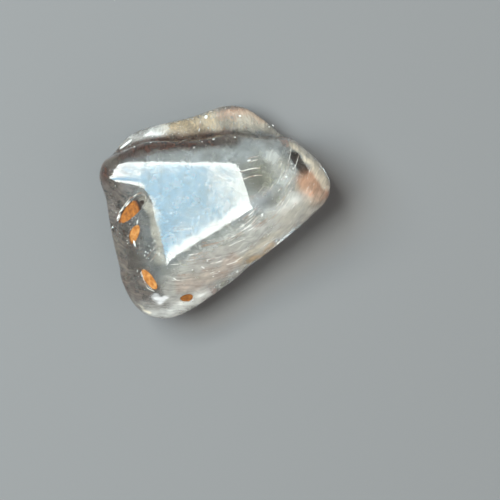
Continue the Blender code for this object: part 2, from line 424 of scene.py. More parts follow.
turn = combine(growth, "MULTIPLY", combine(growth, "ARCTAN2", out_y, out_x), CHANGES_ALONG)
height = combine(growth, "MULTIPLY", split["Z"], CHANGES_UP)
arcs = put(growth, "CombineXYZ", {"X": away, "Y": turn, "Z": height}).outputs["Vector"]
lines = rise(growth, speckle(growth, arcs, scale=1.0, detail=3.0, roughness=0.55), start=0.36, full=0.64)
growth.links.new(lines, growth.nodes.new("NodeGroupOutput").inputs["Lines"])


def growth_lines(tree, place, per_metre):
    """The growth lines in a material, 0 to 1."""
    node = put(tree, "Group", {}, node_tree=growth)
    node.inputs["Lines per metre"].default_value = per_metre
    tree.links.new(place, node.inputs["Vector"])
    return node.outputs["Lines"]


TOPAZ_IOR = 1.62
GRAIN_SHARE, RIDGE_SHARE = 0.35, 0.25
topaz = bpy.data.materials.new("clear_topaz")
topaz.use_nodes = True
tree = topaz.node_tree
place = put(tree, "TexCoord", {}).outputs["Object"]
level = put(tree, "SeparateXYZ", {"Vector": place}).outputs["Z"]
matte = rise(tree, level, start=0.0022, full=0.0046, low=0.26, high=0.02)
scuffs = rise(tree, speckle(tree, place, scale=900.0, detail=6.0), start=0.50, full=0.75, high=0.10)
pores = put(tree, "TexVoronoi", {"Vector": place, "Scale": 5000.0}).outputs
pick = put(tree, "SeparateColor", {"Color": pores["Color"]}).outputs["Red"]
pore = rise(tree, pores["Distance"], start=0.30, full=0.10)
pore = combine(tree, "MULTIPLY", pore, rise(tree, pick, start=0.60, full=0.70))
grain_and_pore_shade = combine(tree, "MULTIPLY", speckle(tree, place, scale=5200.0, detail=3.0), GRAIN_SHARE)
ridges = combine(tree, "MULTIPLY", growth_lines(tree, place, per_metre=3600.0), RIDGE_SHARE)
height = combine(tree, "SUBTRACT", combine(tree, "ADD", grain_and_pore_shade, ridges), pore)
skin = put(tree, "Bump", {"Height": height, "Strength": 1.0, "Distance": 0.000013}).outputs["Normal"]
shader = tree.nodes["Principled BSDF"]
shader.inputs["Base Color"].default_value = (1.0, 0.995, 0.98, 1.0)
shader.inputs["IOR"].default_value = TOPAZ_IOR
shader.inputs["Transmission Weight"].default_value = 1.0
tree.links.new(combine(tree, "ADD", matte, scuffs), shader.inputs["Roughness"])
tree.links.new(skin, shader.inputs["Normal"])
absorb = put(tree, "VolumeAbsorption", {"Color": (0.93, 0.92, 0.78, 1.0), "Density": 4.0})
tree.links.new(absorb.outputs["Volume"], tree.nodes["Material Output"].inputs["Volume"])
stone = finish(bm, "topaz_stone", topaz)
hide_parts("topaz_pebble")

# The veils under the skin
# Healed cracks close under the skin, clouded, and stained straw, brown and rust by iron in the
# water. One thin sheet all round carries them, nearly clear where there is no stain. It also
# carries painted light: painted shade, dark brown, under the crest and along the left edge, and a
# painted caustic, an ochre streak of focused light, on the long flank.
VEIL_DEPTH = 0.22
VEIL_ROUNDS = 3
VEIL_WAVES = [(1.2, 0.06), (0.4, 0.02)]
TAN = (0.70, 0.50, 0.27)
# Painted shade: this dark brown stands for the shade under the crest and at the left outline.
SHADE_BROWN = (0.135, 0.062, 0.042)
SMOKE = (0.30, 0.25, 0.215)
PINK = (0.62, 0.40, 0.33)
RUST = (0.66, 0.30, 0.16)
# Painted caustic: this ochre stands for light that the stone focuses on its long flank.
CAUSTIC_OCHRE = (0.85, 0.48, 0.08)
OLIVE = (0.62, 0.60, 0.44)
# Each veil: the points that it runs through in plan, half its width, its colour, how dense it is
VEILS = {
    "ledge tan": ([(-3.8, 7.2), (-0.7, 7.7)], 0.9, TAN, 0.92),
    "ledge pale": ([(-0.7, 7.9), (4.0, 8.3)], 1.0, TAN, 0.35),
    "ledge brown": ([(0.4, 8.8), (1.8, 8.6)], 0.5, RUST, 0.70),
    "ledge pink": ([(2.1, 8.8), (4.0, 8.1)], 0.5, PINK, 0.60),
    # Painted shade: the dark band under the crest.
    "painted shade under the crest": ([(-8.4, 5.4), (-6.6, 5.9), (-3.1, 6.2), (1.4, 6.6)], 0.85, SHADE_BROWN, 0.90),
    "right of the crest": ([(1.4, 6.6), (6.0, 6.4)], 0.9, SMOKE, 0.50),
    # Painted shade: the dark edge along the left outline.
    "painted shade along the left edge": ([(-9.8, 4.2), (-10.0, 1.1), (-9.1, -2.4), (-8.0, -5.5), (-6.8, -8.1)], 0.55, SHADE_BROWN, 0.85),
    "left flank": ([(-8.4, 1.1), (-7.5, -3.3), (-6.2, -7.2)], 1.5, SMOKE, 0.60),
    "notch wall": ([(-9.1, 2.4), (-7.7, 1.8)], 0.8, SMOKE, 0.60),
    "long flank": ([(-3.1, -6.3), (1.3, -3.7), (5.6, -1.1), (7.8, 0.7)], 1.6, OLIVE, 0.45),
    "flank pink": ([(-2.7, -6.3), (-0.5, -6.6)], 0.6, PINK, 0.60),
    "flank blush": ([(-1.4, -4.3), (1.7, -3.8)], 0.8, PINK, 0.50),
    # Painted caustic: a streak of focused light on the long flank, painted ochre.
    "painted caustic streak": ([(2.8, -4.4), (4.9, -2.7)], 0.32, CAUSTIC_OCHRE, 0.55),
    "right cloud": ([(4.1, 4.2), (6.1, 2.9), (6.5, 0.2)], 1.2, OLIVE, 0.40),
    "right tip": ([(8.2, 2.5), (8.9, 1.8)], 1.0, RUST, 0.80),
    "red corner": ([(5.8, 6.3), (7.0, 5.9)], 0.4, RUST, 0.75),
}
# How far apart the rags in a patch's edge are, and how far they reach
RAG_LENGTH, RAG_REACH = 0.9, 0.35


def near_path(points, path, half_width):
    """1 on a path in plan, falling smoothly to 0 at half_width from it and a half more."""
    nearest = np.full(len(points), np.inf)
    for a, b in zip(np.array(path)[:-1], np.array(path)[1:]):
        along = np.clip((points[:, :2] - a) @ (b - a) / ((b - a) @ (b - a)), 0.0, 1.0)
        apart = np.linalg.norm(points[:, :2] - a - along[:, None] * (b - a), axis=1)
        nearest = np.minimum(nearest, apart)
    return 1.0 - smooth_step(nearest, 0.5 * half_width, 1.5 * half_width)


def paint(points, patches, colour, dense, fades_at, full_at):
    """Colour and density at each point, after the patches are laid over a first one in turn."""
    rag_x, rag_y = wavy(points, RAG_LENGTH, seed=40.0), wavy(points, RAG_LENGTH, seed=50.0)
    ragged = points + RAG_REACH * np.stack([rag_x, rag_y, np.zeros(len(points))], axis=1)
    above = smooth_step(points[:, 2], fades_at, full_at)
    colour, dense = np.tile(colour, (len(points), 1)), dense * above
    for path, half_width, tint, strength in patches.values():
        here = strength * near_path(ragged, path, half_width) * above
        share = here / np.maximum(here + dense * (1.0 - here), 1e-6)
        colour = colour * (1.0 - share[:, None]) + np.array(tint) * share[:, None]
        dense = here + dense * (1.0 - here)
    return np.column_stack([colour, dense])


def sunk(points):
    """The pitted stone, smaller all round by the depth of the veils."""
    return pitted(points) + VEIL_DEPTH


bm = plain_skin
bmesh.ops.subdivide_edges(bm, edges=bm.edges[:], cuts=1, use_grid_fill=True)
bmesh.ops.triangulate(bm, faces=bm.faces[:])
wrap(bm, sunk, VEIL_ROUNDS)
bm.normal_update()
points = np.array([v.co for v in bm.verts])
normals = np.array([v.normal for v in bm.verts])
ripple = sum(size * wavy(points, length, seed=30.0 * length) for length, size in VEIL_WAVES)
for vertex, point in zip(bm.verts, points + normals * ripple[:, None]):
    vertex.co = point
stains = paint(points, VEILS, SMOKE, dense=0.03, fades_at=0.8, full_at=3.0)
for face in bm.faces:
    face.smooth = True

veil_look = bpy.data.materials.new("stained_veil")
veil_look.use_nodes = True
tree = veil_look.node_tree
place = put(tree, "TexCoord", {}).outputs["Object"]
stain = put(tree, "Attribute", {}, attribute_name="stain").outputs
cloud = speckle(tree, place, scale=900.0, detail=5.0, roughness=0.55)
cloud = rise(tree, cloud, start=0.32, full=0.68, low=0.65, high=1.20)
fibre = growth_lines(tree, place, per_metre=4200.0)
fibre = rise(tree, fibre, start=0.0, full=1.0, low=0.84, high=1.10)
dense_here = combine(tree, "MULTIPLY", stain["Alpha"], combine(tree, "MULTIPLY", cloud, fibre))
shade = growth_lines(tree, place, per_metre=6500.0)
shade = rise(tree, shade, start=0.0, full=1.0, low=0.72, high=1.14)
shader = tree.nodes["Principled BSDF"]
shader.inputs["Roughness"].default_value = 0.6
shader.inputs["IOR"].default_value = 1.1
toned = put(tree, "Mix", {"Factor": 1.0}, data_type="RGBA", blend_type="MULTIPLY")
tree.links.new(stain["Color"], toned.inputs["A"])
tree.links.new(shade, toned.inputs["B"])
tree.links.new(toned.outputs["Result"], shader.inputs["Base Color"])
tree.links.new(put(tree, "Clamp", {"Value": dense_here}).outputs["Result"], shader.inputs["Alpha"])
veils = finish(bm, "healed_veils", veil_look)
stain = veils.data.color_attributes.new("stain", "FLOAT_COLOR", "POINT")
stain.data.foreach_set("color", stains.ravel())

# The dark flake
# A flake of a dark mica lies flat a little way under the skin beside the right tip, where the
# crystal grew round it. It is four-sided, with straight edges.
FLAKE_AT, FLAKE_RUN, FLAKE_DEPTH = (7.32, 4.33), -58.0, 0.40
FLAKE_HALVES = (1.12, 0.43, 0.02)
FLAKE_LEAN = 0.35
# A height inside the stone, from which the skin straight above is found
LOOKS_FROM = 2.0


def on_skin(places):
    """The points of the skin over places in plan, and the ways that the skin faces there."""
    starts = np.column_stack([places, np.full(len(places), LOOKS_FROM)])
    found = cast(pitted, starts, np.tile([0.0, 0.0, 1.0], (len(places), 1)), STONE_HEIGHT)
    ways = slope(pitted, found)
    return found, ways / np.linalg.norm(ways, axis=1)[:, None]


def laid(point, normal, run):
    """The matrix that lays a shape flat in the skin, its length along a run in plan."""
    along = np.array(facing(run, 90.0))
    along[2] = -(along @ normal) / normal[2]
    along /= np.linalg.norm(along)
    turn = Matrix(np.stack([along, np.cross(normal, along), normal], axis=1).tolist()).to_4x4()
    return Matrix.Translation(point) @ turn


bm = bmesh.new()
(point,), (normal,) = on_skin(np.array([FLAKE_AT]))
bmesh.ops.create_cube(bm, size=2.0)
bmesh.ops.scale(bm, vec=FLAKE_HALVES, verts=bm.verts)
lean = Matrix.Shear("YZ", 3, (FLAKE_LEAN, 0.0)).to_4x4().transposed()
flat = laid(point - FLAKE_DEPTH * normal, normal, FLAKE_RUN)
bmesh.ops.transform(bm, matrix=flat @ lean, verts=bm.verts)
flake_look = bpy.data.materials.new("dark_mica")
flake_look.use_nodes = True
tree = flake_look.node_tree
place = put(tree, "TexCoord", {}).outputs["Object"]
sheets = speckle(tree, place, scale=2200.0)
tint = put(tree, "Mix", {"Factor": sheets}, data_type="RGBA")
tint.inputs["A"].default_value = (0.045, 0.032, 0.025, 1.0)
tint.inputs["B"].default_value = (0.15, 0.115, 0.09, 1.0)
shader = tree.nodes["Principled BSDF"]
shader.inputs["Roughness"].default_value = 0.4
tree.links.new(tint.outputs["Result"], shader.inputs["Base Color"])
thick = rise(tree, sheets, start=0.30, full=0.70, low=0.65, high=0.95)
tree.links.new(thick, shader.inputs["Alpha"])
finish(bm, "dark_flake", flake_look)

# The frosted skin
# Rolling in a river has frosted the skin with fine pits and hairline cracks, which scatter the
# light. One thin part-clear sheet over all but the base carries the frost, milky on the flanks.
# It also carries painted light: a white painted reflection at the lower end, a bluish painted
# sheen above the main face and an ochre painted caustic on the long flank.
FROST_STANDS = 0.008
MILK = (0.88, 0.86, 0.80)
# This bluish tone is frost haze, and above the main face a painted sheen of the window's blue.
HAZE_AND_SHEEN = (0.80, 0.88, 0.92)
# This white paints a reflection of the window at the lower end.
WHITE = (0.97, 0.98, 0.99)
SAND = (0.82, 0.73, 0.57)
BLUSH = (0.76, 0.43, 0.26)
GOLD = (0.78, 0.60, 0.30)
# Each patch: the points that it runs through in plan, half its width, its colour, how dense it is
FROST = {
    "ledge left": ([(-8.6, 5.6), (-4.5, 7.4)], 0.5, MILK, 0.34),
    "ledge tan": ([(-3.8, 7.4), (-0.7, 7.9)], 0.8, GOLD, 0.05),
    "ledge pale": ([(-0.7, 8.1), (4.0, 8.3)], 0.9, SAND, 0.17),
    "ledge right": ([(2.5, 8.4), (5.4, 7.4)], 0.6, SAND, 0.18),
    # Painted sheen: the window's blurred blue reflection above the main face.
    "painted sheen above the main face": ([(-5.0, 4.6), (1.5, 5.2), (5.5, 5.6)], 1.0, HAZE_AND_SHEEN, 0.12),
    "notch edge": ([(-6.2, 1.1), (-5.3, -0.1), (-5.0, -2.0), (-4.8, -4.3)], 0.35, SAND, 0.22),
    "lower end": ([(-5.8, -8.7), (-3.6, -8.5), (-1.4, -7.7)], 1.0, MILK, 0.38),
    "lower left rim": ([(-9.5, -0.8), (-8.0, -4.9), (-7.0, -7.7), (-5.8, -8.7)], 0.10, SAND, 0.70),
    "long flank": ([(-3.1, -6.6), (1.3, -3.9), (5.6, -1.3), (7.8, 0.5)], 1.5, MILK, 0.39),
    "flank blush": ([(-2.9, -6.4), (0.4, -5.2), (1.6, -4.2)], 0.6, BLUSH, 0.20),
    "flank gold": ([(2.2, -4.2), (5.4, -1.9)], 0.4, GOLD, 0.22),
    # Painted caustic: the same streak of focused light, painted ochre on the frost.
    "painted caustic on the flank": ([(3.1, -4.4), (5.0, -2.9)], 0.22, CAUSTIC_OCHRE, 0.32),
    "below the main face": ([(-4.4, -4.0), (4.0, -1.0)], 0.7, HAZE_AND_SHEEN, 0.04),
    "right cloud": ([(5.0, 4.6), (6.2, 2.9), (6.6, 0.2)], 0.7, MILK, 0.20),
    "right tip": ([(8.2, 2.5), (8.9, 1.8)], 1.1, BLUSH, 0.50),
    "tip spot": ([(8.25, 1.45), (8.55, 1.60)], 0.16, RUST, 0.60),
    "tip crescent": ([(9.25, 1.15), (9.60, 1.65), (9.55, 2.1)], 0.14, RUST, 0.60),
    "ledge blush": ([(1.4, 9.0), (2.6, 9.0), (4.0, 8.3)], 0.35, BLUSH, 0.22),
    "right edge": ([(6.9, 6.0), (7.6, 5.35), (8.60, 4.10), (9.20, 3.1), (9.65, 2.4)], 0.46, SAND, 0.80),
    # Painted reflection: the window mirrored on the lower end, painted white.
    "painted reflection at the lower end": ([(-5.3, -7.35), (-4.75, -7.75), (-4.3, -7.35)], 0.17, WHITE, 0.95),
    "below the tip": ([(6.3, -0.9), (9.1, 0.7)], 0.9, SAND, 0.30),
}
# Parts that lose most of their frost: the points that they run through in plan, half their width
CLEAR_SHARE = 0.85
CLEAR = [
    ([(-8.4, 5.2), (-6.6, 5.8), (-3.1, 6.1), (1.4, 6.4)], 0.8),
    ([(-9.8, 4.2), (-9.2, 1.1), (-8.0, -3.4), (-6.6, -6.6)], 1.3),
    ([(6.85, 4.9), (7.65, 3.65)], 0.40),
    ([(3.6, 3.0), (4.6, 1.6)], 0.8),
]

bm = outer_skin
points = np.array([v.co for v in bm.verts])
normals = np.array([v.normal for v in bm.verts])
for vertex, point in zip(bm.verts, points + FROST_STANDS * normals):
    vertex.co = (*point[:2], max(point[2], CLEAVAGE_TRIM))
frost = paint(points, FROST, HAZE_AND_SHEEN, dense=0.07, fades_at=0.3, full_at=1.5)
for path, half_width in CLEAR:
    frost[:, 3] *= 1.0 - CLEAR_SHARE * near_path(points, path, half_width)
frost_look = bpy.data.materials.new("frosted_topaz")
frost_look.use_nodes = True
tree = frost_look.node_tree
place = put(tree, "TexCoord", {}).outputs["Object"]
frosting = put(tree, "Attribute", {}, attribute_name="frosting").outputs
cloud = speckle(tree, place, scale=900.0, detail=5.0, roughness=0.5)
cloud = rise(tree, cloud, start=0.30, full=0.70, low=0.70, high=1.25)
fibre = growth_lines(tree, place, per_metre=5600.0)
fibre = rise(tree, fibre, start=0.0, full=1.0, low=0.80, high=1.12)
dense_here = combine(tree, "MULTIPLY", frosting["Alpha"], combine(tree, "MULTIPLY", cloud, fibre))
shader = tree.nodes["Principled BSDF"]
shader.inputs["Roughness"].default_value = 0.5
shader.inputs["Coat Weight"].default_value = 1.0
shader.inputs["Coat Roughness"].default_value = 0.08
shader.inputs["Coat IOR"].default_value = TOPAZ_IOR
tree.links.new(frosting["Color"], shader.inputs["Base Color"])
tree.links.new(put(tree, "Clamp", {"Value": dense_here}).outputs["Result"], shader.inputs["Alpha"])
frosted = finish(bm, "frosted_skin", frost_look)
frosting = frosted.data.color_attributes.new("frosting", "FLOAT_COLOR", "POINT")
frosting.data.foreach_set("color", frost.ravel())

# The rust in the pits
# Rusty mud that has dried in the bottom of the etch pits and holds there: a dull, lumpy orange
# crust that fills each pit most of the way up. Where a crust sinks away at its empty end, it is
# painted near-black there as painted shade in the hollow.
CRUST_LUMPS = [(0.45, 0.16), (0.15, 0.09)]
CRUST_LEVEL = 6
CRUST_FIT = (1.02, 1.0, 1.05)
# How far a crust has sunk at its empty end, and how much painted shade darkens it there
SINKS, SHADE_AT_EMPTY_END = 0.45, 2.5

# Each crust: its level in the pit, where along the pit it sinks away and where it has sunk, how much
# it narrows towards the other end, and how pale it is
CRUSTS = {
    "long_groove": (-0.20, 0.20, 0.45, 0.15, 0.25),
    "forked_pit": (-0.10, 1.2, 1.6, 0.55, 0.85),
    "flank_pit": (-0.15, 1.2, 1.6, 0.0, 0.75),
    "tip_pit": (-0.22, 1.2, 1.6, 0.2, 0.55),
}

# The crust's colours, from its darkest spots to its palest, and how much paleness shifts them.
# The darkest also serves as the painted shade at a crust's empty end.
CRUST_TONES = [
    (0.0, (0.020, 0.010, 0.006, 1.0)),
    (0.22, (0.15, 0.045, 0.008, 1.0)),
    (0.60, (0.36, 0.125, 0.018, 1.0)),
    (1.0, (0.62, 0.34, 0.12, 1.0)),
]
PALE_SHIFT = 0.35
rust = bpy.data.materials.new("iron_oxide")
rust.use_nodes = True
tree = rust.node_tree
place = put(tree, "TexCoord", {}).outputs["Object"]
pale = put(tree, "Attribute", {}, attribute_name="paleness").outputs["Fac"]
blotch = speckle(tree, place, scale=2600.0, detail=6.0, roughness=0.7)
blotch = rise(tree, blotch, start=0.34, full=0.66, low=0.18, high=0.55)
tone = combine(tree, "ADD", blotch, combine(tree, "MULTIPLY", pale, PALE_SHIFT))
ramp = put(tree, "ValToRGB", {"Fac": tone})
stops = ramp.color_ramp.elements
for at, _ in CRUST_TONES[1:-1]:
    stops.new(at)
for stop, (at, tint) in zip(stops, CRUST_TONES):
    stop.position, stop.color = at, tint
height = speckle(tree, place, scale=5000.0)
crumbs = put(tree, "Bump", {"Height": height, "Strength": 1.0, "Distance": 0.00006})
shader = tree.nodes["Principled BSDF"]
shader.inputs["Roughness"].default_value = 0.85
tree.links.new(ramp.outputs["Color"], shader.inputs["Base Color"])
tree.links.new(crumbs.outputs["Normal"], shader.inputs["Normal"])
for name, (level, sinks_from, sunk_at, narrows, paleness) in CRUSTS.items():
    centre, axes, halves = pits[name]
    bm = bmesh.new()
    bmesh.ops.create_icosphere(bm, subdivisions=CRUST_LEVEL, radius=1.0)
    points = np.array([v.co for v in bm.verts])
    gone = smooth_step(points[:, 0], sinks_from, sunk_at)
    top = level - SINKS * gone - narrows * smooth_step(-points[:, 0], 0.0, 1.0)
    for size, height in CRUST_LUMPS:
        top += height * wavy(points * halves, size, seed=20.0 * size)
    points[:, 2] = np.minimum(points[:, 2], top)
    points = centre + (points * halves * CRUST_FIT) @ axes.T
    for vertex, point in zip(bm.verts, points):
        vertex.co = point
    bmesh.ops.recalc_face_normals(bm, faces=bm.faces)
    for face in bm.faces:
        face.smooth = True
    crust = finish(bm, "iron_oxide_" + name, rust)
    pale = crust.data.attributes.new("paleness", "FLOAT", "POINT")
    # The empty end is painted near-black: painted shade in the hollow.
    pale.data.foreach_set("value", paleness - SHADE_AT_EMPTY_END * gone)

# The painted glints
# Bright glints of the window on pit rims, worn edges and tiny bubbles are painted as white spots
# in the skin, with small bruises from knocks scattered among them. Each is a shallow lens of
# pale, rough topaz set in the skin.

# Each painted glint: its place in plan, half its length and width, and the way it runs in degrees
PAINTED_GLINTS_AT = [
    ((-0.87, 8.46), 0.19, 0.14, 80),
    ((-5.66, 6.09), 0.09, 0.09, 0),
    ((-7.09, 5.74), 0.21, 0.09, -60),
    ((-1.85, 5.61), 0.11, 0.11, 0),
    ((-0.16, 6.35), 0.13, 0.13, 0),
    ((1.70, 6.52), 0.11, 0.11, 0),
    ((2.12, 8.55), 0.14, 0.11, 0),
    ((5.06, 7.76), 0.14, 0.12, 0),
    ((4.71, 7.62), 0.11, 0.09, 0),
    ((7.98, 2.10), 0.21, 0.12, 15),
    ((9.50, 2.14), 0.12, 0.11, 90),
    ((8.24, 0.93), 0.15, 0.13, 0),
    ((6.12, 3.05), 0.16, 0.12, 20),
    ((2.91, 4.44), 0.19, 0.09, 20),
    ((4.04, -0.28), 0.18, 0.11, 70),
    ((-1.98, -5.00), 0.12, 0.09, 90),
    ((-0.21, -5.57), 0.13, 0.11, 0),
    ((0.31, -5.13), 0.12, 0.11, 0),
    ((-1.07, -4.79), 0.35, 0.11, -35),
    ((-3.50, -5.78), 0.33, 0.08, -30),
    ((-0.68, -4.22), 0.12, 0.09, -40),
    ((-2.72, -6.30), 0.26, 0.05, -30),
    ((-7.05, -2.71), 0.31, 0.12, -70),
    ((-6.79, -0.84), 0.22, 0.09, 85),
    ((-8.44, -0.41), 0.39, 0.14, 65),
    ((-6.79, 0.02), 0.22, 0.09, 80),
    ((-6.27, 0.54), 0.31, 0.08, 40),
    ((-7.66, 0.72), 0.48, 0.07, 47),
    ((-8.18, 0.24), 0.26, 0.07, 60),
    ((-6.14, -3.75), 0.09, 0.09, 0),
    ((-6.05, -3.44), 0.10, 0.10, 0),
    ((-5.84, -3.53), 0.07, 0.07, 0),
    ((-5.62, -3.27), 0.06, 0.06, 0),
    ((-5.75, -2.92), 0.08, 0.08, 0),
    ((-5.40, -2.66), 0.07, 0.07, 0),
    ((-5.23, -2.49), 0.08, 0.08, 0),
    ((-5.27, -3.10), 0.09, 0.07, 0),
    ((-4.84, -3.62), 0.16, 0.07, 90),
    ((-6.79, -5.09), 0.13, 0.07, 80),
    ((6.40, 6.42), 0.37, 0.12, -50),
    ((9.05, 3.80), 0.33, 0.10, -48),
    ((7.68, 4.70), 0.18, 0.07, 40),
    ((-4.71, -8.47), 0.23, 0.06, 90),
    ((-7.96, 6.05), 0.75, 0.13, 38),
    ((-5.86, 6.98), 0.55, 0.15, 25),
    ((-1.30, -7.30), 0.30, 0.10, 30),
]
SMALL_BRUISES, SMALL_RADII = 90, (0.02, 0.05)
LENS_DEPTH, LENS_STANDS = 0.05, 0.015
LENS_STRETCH, LENS_LOWEST = (1.0, 2.5), 0.6


def add_lens(bm, point, normal, half_length, half_width, run, rounds=1):
    """Adds a shallow lens to bm, lying in the skin."""
    made = bmesh.ops.create_icosphere(bm, subdivisions=rounds, radius=1.0)["verts"]
    bmesh.ops.scale(bm, vec=(half_length, half_width, LENS_DEPTH), verts=made)
    middle = point + normal * (LENS_STANDS - LENS_DEPTH)
    bmesh.ops.transform(bm, matrix=laid(middle, normal, run), verts=made)


def scatter(bm, seed, count, radii):
    """Adds small lenses to bm, at random over the whole skin above the base."""
    draw = np.random.default_rng(seed)
    for middle in draw.choice(len(skin_points), count, replace=False):
        radius = draw.uniform(*radii)
        length, run = radius * draw.uniform(*LENS_STRETCH), draw.uniform(0, 180)
        if skin_points[middle][2] > LENS_LOWEST:
            add_lens(bm, skin_points[middle], skin_normals[middle], length, radius, run)


bm = bmesh.new()
# The listed spots are painted glints of the window.
points, normals = on_skin(np.array([place for place, *_ in PAINTED_GLINTS_AT]))
for (_, half_length, half_width, run), point, normal in zip(PAINTED_GLINTS_AT, points, normals):
    add_lens(bm, point, normal, half_length, half_width, run, rounds=2)
skin_points = np.array([v.co for v in stone.data.vertices]) / MM + np.array(foot)
skin_normals = np.array([v.normal for v in stone.data.vertices])
scatter(bm, seed=11, count=SMALL_BRUISES, radii=SMALL_RADII)
for face in bm.faces:
    face.smooth = True
glint_and_bruise_look = bpy.data.materials.new("painted_glint_and_bruise")
glint_and_bruise_look.use_nodes = True
tree = glint_and_bruise_look.node_tree
place = put(tree, "TexCoord", {}).outputs["Object"]
# Painted glints: white, as are the small bruises.
glint_white_tone = rise(tree, speckle(tree, place, scale=7000.0), start=0.35, full=0.65, low=0.72, high=0.95)
warmed = combine(tree, "MULTIPLY", glint_white_tone, 0.97)
glint_white_tone = put(tree, "CombineColor", {"Red": glint_white_tone, "Green": glint_white_tone, "Blue": warmed}).outputs["Color"]
shader = tree.nodes["Principled BSDF"]
shader.inputs["Roughness"].default_value = 0.45
tree.links.new(glint_white_tone, shader.inputs["Base Color"])
finish(bm, "painted_glints_and_bruises", glint_and_bruise_look)

# The dark specks
# Tiny pores in the skin break up its reflection. Each is painted as a dark spot, painted shade
# hardly wider than a hair: a shallow lens, as the small bruises are, and they are scattered over
# the whole stone.
DARK_SPECKS, SPECK_RADII = 300, (0.025, 0.070)
bm = bmesh.new()
scatter(bm, seed=12, count=DARK_SPECKS, radii=SPECK_RADII)
grain_and_pore_shade = bpy.data.materials.new("painted_pore_shade")
grain_and_pore_shade.use_nodes = True
tree = grain_and_pore_shade.node_tree
place = put(tree, "TexCoord", {}).outputs["Object"]
# Painted shade: the pores' dark spots, near-black to dark brown.
tint = put(tree, "Mix", {"Factor": speckle(tree, place, scale=1500.0)}, data_type="RGBA")
tint.inputs["A"].default_value = (0.02, 0.02, 0.025, 1.0)
tint.inputs["B"].default_value = (0.16, 0.07, 0.03, 1.0)
shader = tree.nodes["Principled BSDF"]
shader.inputs["Roughness"].default_value = 0.9
shader.inputs["Specular IOR Level"].default_value = 0.1
tree.links.new(tint.outputs["Result"], shader.inputs["Base Color"])
finish(bm, "dark_specks", grain_and_pore_shade)

# The needles in the skin
# Hair-thin needles of another mineral lie in the skin, pale and slightly bent. Two white lines
# right of the main face are painted reflections of the window in fine scratches, drawn as pale
# threads like the needles.

# Each needle, and each painted reflection line: the points that it runs through in plan, and its radius
NEEDLES_AND_GLINT_LINES = [
    ([(-3.14, 6.02), (-2.79, 6.28), (-2.45, 6.45), (-2.19, 6.54)], 0.045),
    ([(-1.37, 8.10), (-1.41, 7.62), (-1.50, 7.15)], 0.035),
    # These two lines are painted reflections of the window in fine scratches.
    ([(2.14, 3.43), (2.83, 3.66), (3.43, 3.78), (3.95, 3.77)], 0.045),
    ([(2.27, 2.74), (2.91, 3.01), (3.52, 3.15), (4.04, 3.16)], 0.040),
    ([(2.83, 4.60), (3.26, 4.74), (3.69, 4.77)], 0.030),
    ([(2.91, 4.25), (3.26, 4.42), (3.69, 4.51)], 0.030),
    ([(1.01, -3.01), (1.79, -2.62), (2.65, -2.28)], 0.030),
    ([(-5.99, -4.05), (-5.56, -3.44), (-4.95, -2.75)], 0.025),
    ([(-5.65, -4.31), (-5.21, -3.79), (-4.87, -3.27)], 0.025),
    ([(-8.66, -0.81), (-8.49, -0.11), (-7.96, 0.59), (-7.44, 1.20), (-6.82, 1.55), (-6.38, 1.73)], 0.040),
    ([(-6.38, 1.73), (-6.03, 1.38), (-6.12, 0.85)], 0.035),
    ([(-6.38, -5.20), (-6.21, -5.99), (-5.86, -6.60), (-5.24, -6.87)], 0.030),
]
NEEDLE_STEPS, NEEDLE_SIDES, NEEDLE_TAPER = 4, 6, 0.5

# Hairs: how many, and their distance and direction from the middle of the growth lines
HAIRS, HAIR_AWAY, HAIR_WAYS = 105, (8.5, 13.6), (-1.65, -0.30)
# Their length and radius, how far they stray from an arc, and how many spots each runs through
HAIR_LENGTHS, HAIR_RADII, HAIR_STRAYS, HAIR_SPOTS = (0.4, 1.7), (0.014, 0.030), 0.12, 13
# How far off the skin a spot may lie: a hair that runs out past the outline is left out
HAIR_MISS = 0.01


def steps(path):
    """A path in plan with finer steps."""
    path = np.array(path)
    places = np.linspace(0, len(path) - 1, NEEDLE_STEPS * (len(path) - 1) + 1)
    x, y = (np.interp(places, np.arange(len(path)), path[:, axis]) for axis in (0, 1))
    return np.stack([x, y], axis=1)


def add_needle(bm, spots, radius):
    """Adds a thin thread to bm that runs through spots of the skin and tapers at both ends."""
    spots = [Vector(p) for p in spots]
    ring = bmesh.ops.create_circle(bm, cap_ends=True, segments=NEEDLE_SIDES, radius=radius)["verts"]
    way = (spots[-1] - spots[0]).normalized()
    bmesh.ops.rotate(bm, verts=ring, matrix=way.to_track_quat("Z", "Y").to_matrix())
    bmesh.ops.translate(bm, verts=ring, vec=spots[0])
    bmesh.ops.scale(bm, verts=ring, vec=(NEEDLE_TAPER,) * 3, space=Matrix.Translation(-spots[0]))
    edges = list({e for v in ring for e in v.link_edges})
    for number, (a, b) in enumerate(zip(spots, spots[1:])):
        ring = bmesh.ops.extrude_edge_only(bm, edges=edges)["geom"]
        verts = [g for g in ring if isinstance(g, bmesh.types.BMVert)]
        edges = [g for g in ring if isinstance(g, bmesh.types.BMEdge)]
        bmesh.ops.translate(bm, verts=verts, vec=b - a)
        grow = {0: 1.0 / NEEDLE_TAPER, len(spots) - 2: NEEDLE_TAPER}.get(number, 1.0)
        bmesh.ops.scale(bm, verts=verts, vec=(grow,) * 3, space=Matrix.Translation(-b))
    bmesh.ops.edgeloop_fill(bm, edges=edges)


